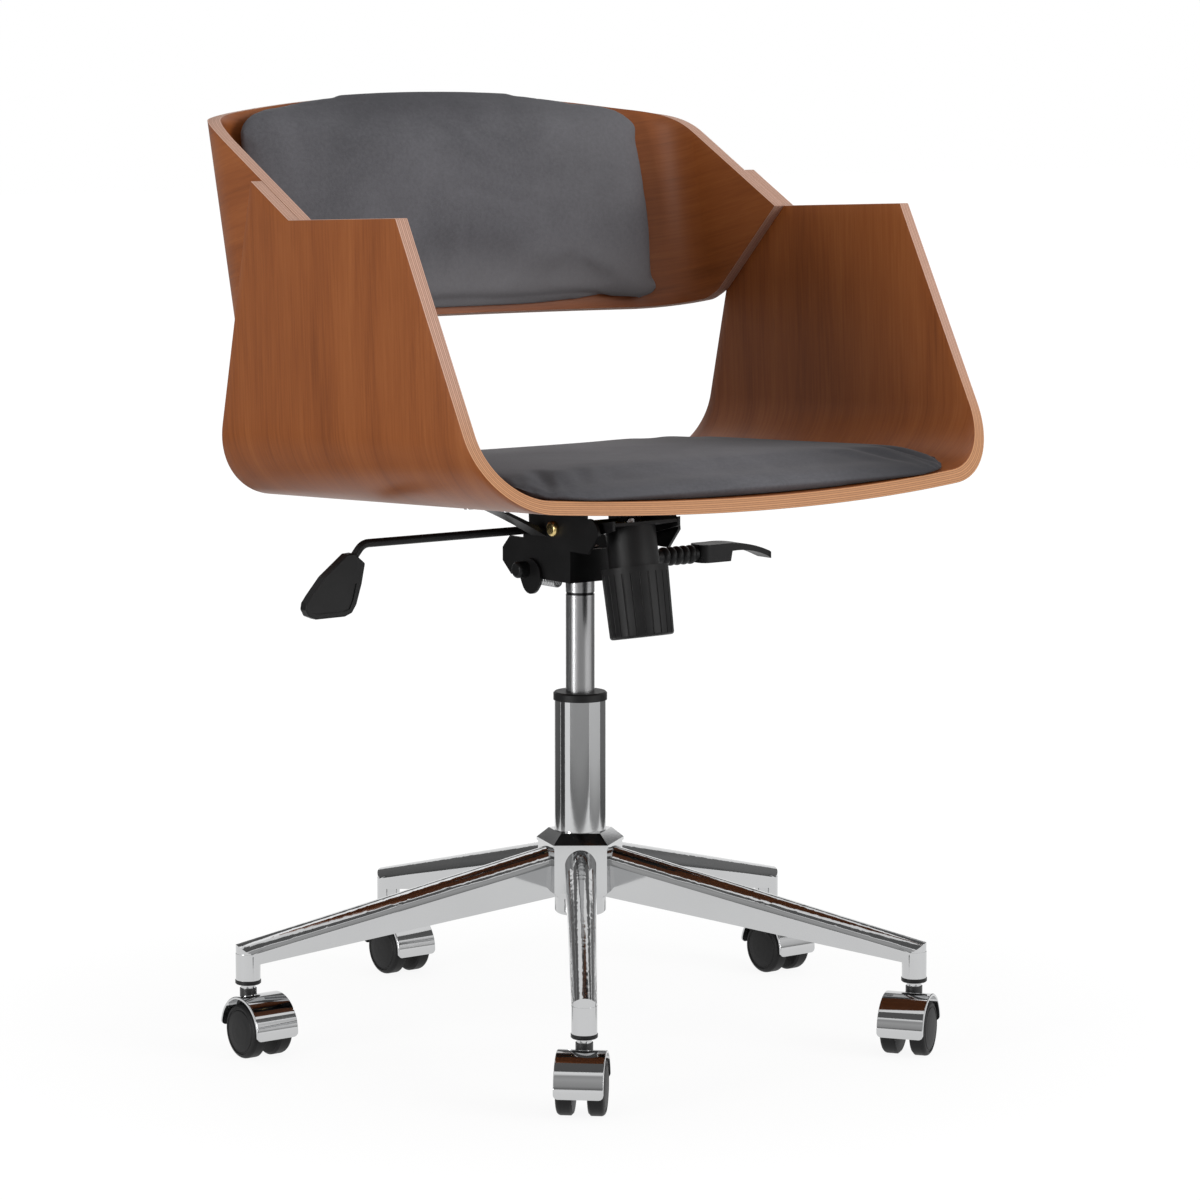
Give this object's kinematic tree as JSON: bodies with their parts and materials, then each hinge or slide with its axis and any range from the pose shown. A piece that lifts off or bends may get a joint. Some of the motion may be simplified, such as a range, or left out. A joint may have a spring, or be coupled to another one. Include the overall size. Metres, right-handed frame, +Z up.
{
  "type": "office chair",
  "caption": "Swivel office chair with a bent plywood seat and arm shell, a wrapped back band, velvet pads, tilt mechanism, gas lift and a star base on twin-wheel casters.",
  "frame": {"origin": "on the floor, on the swivel axis", "axes": "+Z up along the column, -Y the way the sitter faces, +X to the sitter's left"},
  "size_m": [0.6776, 0.6675, 0.9048],
  "materials": {
    "chrome": "polished",
    "steel": "satin ground",
    "black_steel": "satin powder coat",
    "black_plastic": "fine matte grain",
    "wheel_black": "satin",
    "walnut_ply": "satin lacquer on veneer, bare ply edges",
    "velvet": "short pile",
    "zinc": "yellow zinc plate",
    "beech": "plain"
  },
  "bodies": {
    "base": {"base_star": "chrome", "column_tube": "chrome", "column_collar": "black_plastic", "thrust_bearing": "steel", "caster_1_sleeve": "black_plastic", "caster_2_sleeve": "black_plastic", "caster_3_sleeve": "black_plastic", "caster_4_sleeve": "black_plastic", "caster_5_sleeve": "black_plastic"},
    "rod": {"piston_rod": "steel", "rod_clip": "steel"},
    "lift": {"gas_cylinder": "steel", "taper_socket": "black_steel", "tilt_housing": "black_steel", "spring_cup": "black_plastic", "pivot_pin": "zinc", "return_spring": "chrome", "tension_spring": "steel"},
    "seat": {"top_plate": "black_steel", "seat_shell": "walnut_ply", "back_shell": "walnut_ply", "seat_pad": "velvet", "back_pad": "velvet", "seat_screws": "steel", "arm_dowels": "beech", "tension_eye_pin": "steel"},
    "height_lever": {"height_lever_rod": "black_steel", "height_lever_grip": "black_plastic"},
    "valve": {"valve_pin": "steel"},
    "lock_lever": {"lock_shaft": "black_steel", "lock_sleeve": "black_plastic", "lock_paddle": "black_plastic", "lock_ear": "black_steel"},
    "tension_bolt": {"tension_bolt": "steel"},
    "tension_knob": {"tension_knob": "black_plastic"},
    "caster_1": {"caster_1_hood": "chrome", "caster_1_stem": "chrome", "caster_1_axle": "steel"},
    "caster_1_wheel_a": {"caster_1_wheel_a": "wheel_black"},
    "caster_1_wheel_b": {"caster_1_wheel_b": "wheel_black"},
    "caster_2": {"caster_2_hood": "chrome", "caster_2_stem": "chrome", "caster_2_axle": "steel"},
    "caster_2_wheel_a": {"caster_2_wheel_a": "wheel_black"},
    "caster_2_wheel_b": {"caster_2_wheel_b": "wheel_black"},
    "caster_3": {"caster_3_hood": "chrome", "caster_3_stem": "chrome", "caster_3_axle": "steel"},
    "caster_3_wheel_a": {"caster_3_wheel_a": "wheel_black"},
    "caster_3_wheel_b": {"caster_3_wheel_b": "wheel_black"},
    "caster_4": {"caster_4_hood": "chrome", "caster_4_stem": "chrome", "caster_4_axle": "steel"},
    "caster_4_wheel_a": {"caster_4_wheel_a": "wheel_black"},
    "caster_4_wheel_b": {"caster_4_wheel_b": "wheel_black"},
    "caster_5": {"caster_5_hood": "chrome", "caster_5_stem": "chrome", "caster_5_axle": "steel"},
    "caster_5_wheel_a": {"caster_5_wheel_a": "wheel_black"},
    "caster_5_wheel_b": {"caster_5_wheel_b": "wheel_black"}
  },
  "joints": [
    {"name": "seat_swivel", "type": "hinge", "parent": "base", "child": "rod", "pos_m": [0, 0, 0.2], "axis": [0, 0, 1], "continuous": true},
    {"name": "seat_height", "type": "slide", "parent": "rod", "child": "lift", "axis": [0, 0, 1], "range_m": [-0.095, 0], "stiffness_N_per_m": 500, "springref_m": 0.6},
    {"name": "seat_tilt", "type": "hinge", "parent": "lift", "child": "seat", "pos_m": [0, -0.025, 0.493], "axis": [-1, 0, 0], "range_deg": [0, 14], "stiffness_Nm_per_rad": 70, "springref_deg": -14.32},
    {"name": "height_lever_lift", "type": "hinge", "parent": "lift", "child": "height_lever", "pos_m": [-0.0385, 0.028, 0.4865], "axis": [0, 1, 0], "range_deg": [0, 5]},
    {"name": "valve_press", "type": "slide", "parent": "lift", "child": "valve", "axis": [0, 0, -1], "range_m": [0, 0.004]},
    {"name": "lock_turn", "type": "hinge", "parent": "lift", "child": "lock_lever", "pos_m": [0.1, 0.03, 0.4483], "axis": [1, 0, 0], "range_deg": [0, 25]},
    {"name": "tension_slide", "type": "slide", "parent": "lift", "child": "tension_bolt", "axis": [0, 0.1822, 0.9833], "range_m": [0, 0.013], "deforming": ["tension_spring"]},
    {"name": "tension_turn", "type": "hinge", "parent": "tension_bolt", "child": "tension_knob", "pos_m": [0, -0.077, 0.508], "axis": [0, 0.1822, 0.9833], "continuous": true},
    {"name": "caster_1_swivel", "type": "hinge", "parent": "base", "child": "caster_1", "pos_m": [0, 0.332, 0.066], "axis": [0, 0, 1], "continuous": true},
    {"name": "caster_1_wheel_a_spin", "type": "hinge", "parent": "caster_1", "child": "caster_1_wheel_a", "pos_m": [0, 0.313, 0.026], "axis": [1, 0, 0], "continuous": true},
    {"name": "caster_1_wheel_b_spin", "type": "hinge", "parent": "caster_1", "child": "caster_1_wheel_b", "pos_m": [0, 0.313, 0.026], "axis": [1, 0, 0], "continuous": true},
    {"name": "caster_2_swivel", "type": "hinge", "parent": "base", "child": "caster_2", "pos_m": [-0.31575, 0.10259, 0.066], "axis": [0, 0, 1], "continuous": true},
    {"name": "caster_2_wheel_a_spin", "type": "hinge", "parent": "caster_2", "child": "caster_2_wheel_a", "pos_m": [-0.31575, 0.08359, 0.026], "axis": [1, 0, 0], "continuous": true},
    {"name": "caster_2_wheel_b_spin", "type": "hinge", "parent": "caster_2", "child": "caster_2_wheel_b", "pos_m": [-0.31575, 0.08359, 0.026], "axis": [1, 0, 0], "continuous": true},
    {"name": "caster_3_swivel", "type": "hinge", "parent": "base", "child": "caster_3", "pos_m": [-0.19515, -0.26859, 0.066], "axis": [0, 0, 1], "continuous": true},
    {"name": "caster_3_wheel_a_spin", "type": "hinge", "parent": "caster_3", "child": "caster_3_wheel_a", "pos_m": [-0.2081, -0.28249, 0.026], "axis": [0.7314, -0.682, 0], "continuous": true},
    {"name": "caster_3_wheel_b_spin", "type": "hinge", "parent": "caster_3", "child": "caster_3_wheel_b", "pos_m": [-0.2081, -0.28249, 0.026], "axis": [0.7314, -0.682, 0], "continuous": true},
    {"name": "caster_4_swivel", "type": "hinge", "parent": "base", "child": "caster_4", "pos_m": [0.19515, -0.26859, 0.066], "axis": [0, 0, 1], "continuous": true},
    {"name": "caster_4_wheel_a_spin", "type": "hinge", "parent": "caster_4", "child": "caster_4_wheel_a", "pos_m": [0.17939, -0.27922, 0.026], "axis": [0.5592, -0.829, 0], "continuous": true},
    {"name": "caster_4_wheel_b_spin", "type": "hinge", "parent": "caster_4", "child": "caster_4_wheel_b", "pos_m": [0.17939, -0.27922, 0.026], "axis": [0.5592, -0.829, 0], "continuous": true},
    {"name": "caster_5_swivel", "type": "hinge", "parent": "base", "child": "caster_5", "pos_m": [0.31575, 0.10259, 0.066], "axis": [0, 0, 1], "continuous": true},
    {"name": "caster_5_wheel_a_spin", "type": "hinge", "parent": "caster_5", "child": "caster_5_wheel_a", "pos_m": [0.31575, 0.08359, 0.026], "axis": [1, 0, 0], "continuous": true},
    {"name": "caster_5_wheel_b_spin", "type": "hinge", "parent": "caster_5", "child": "caster_5_wheel_b", "pos_m": [0.31575, 0.08359, 0.026], "axis": [1, 0, 0], "continuous": true}
  ],
  "couplings": [
    {"joint": "valve_press", "follows": "height_lever_lift", "m_per_rad": 0.042},
    {"joint": "tension_slide", "follows": "seat_tilt", "m_per_rad": 0.0525}
  ]
}
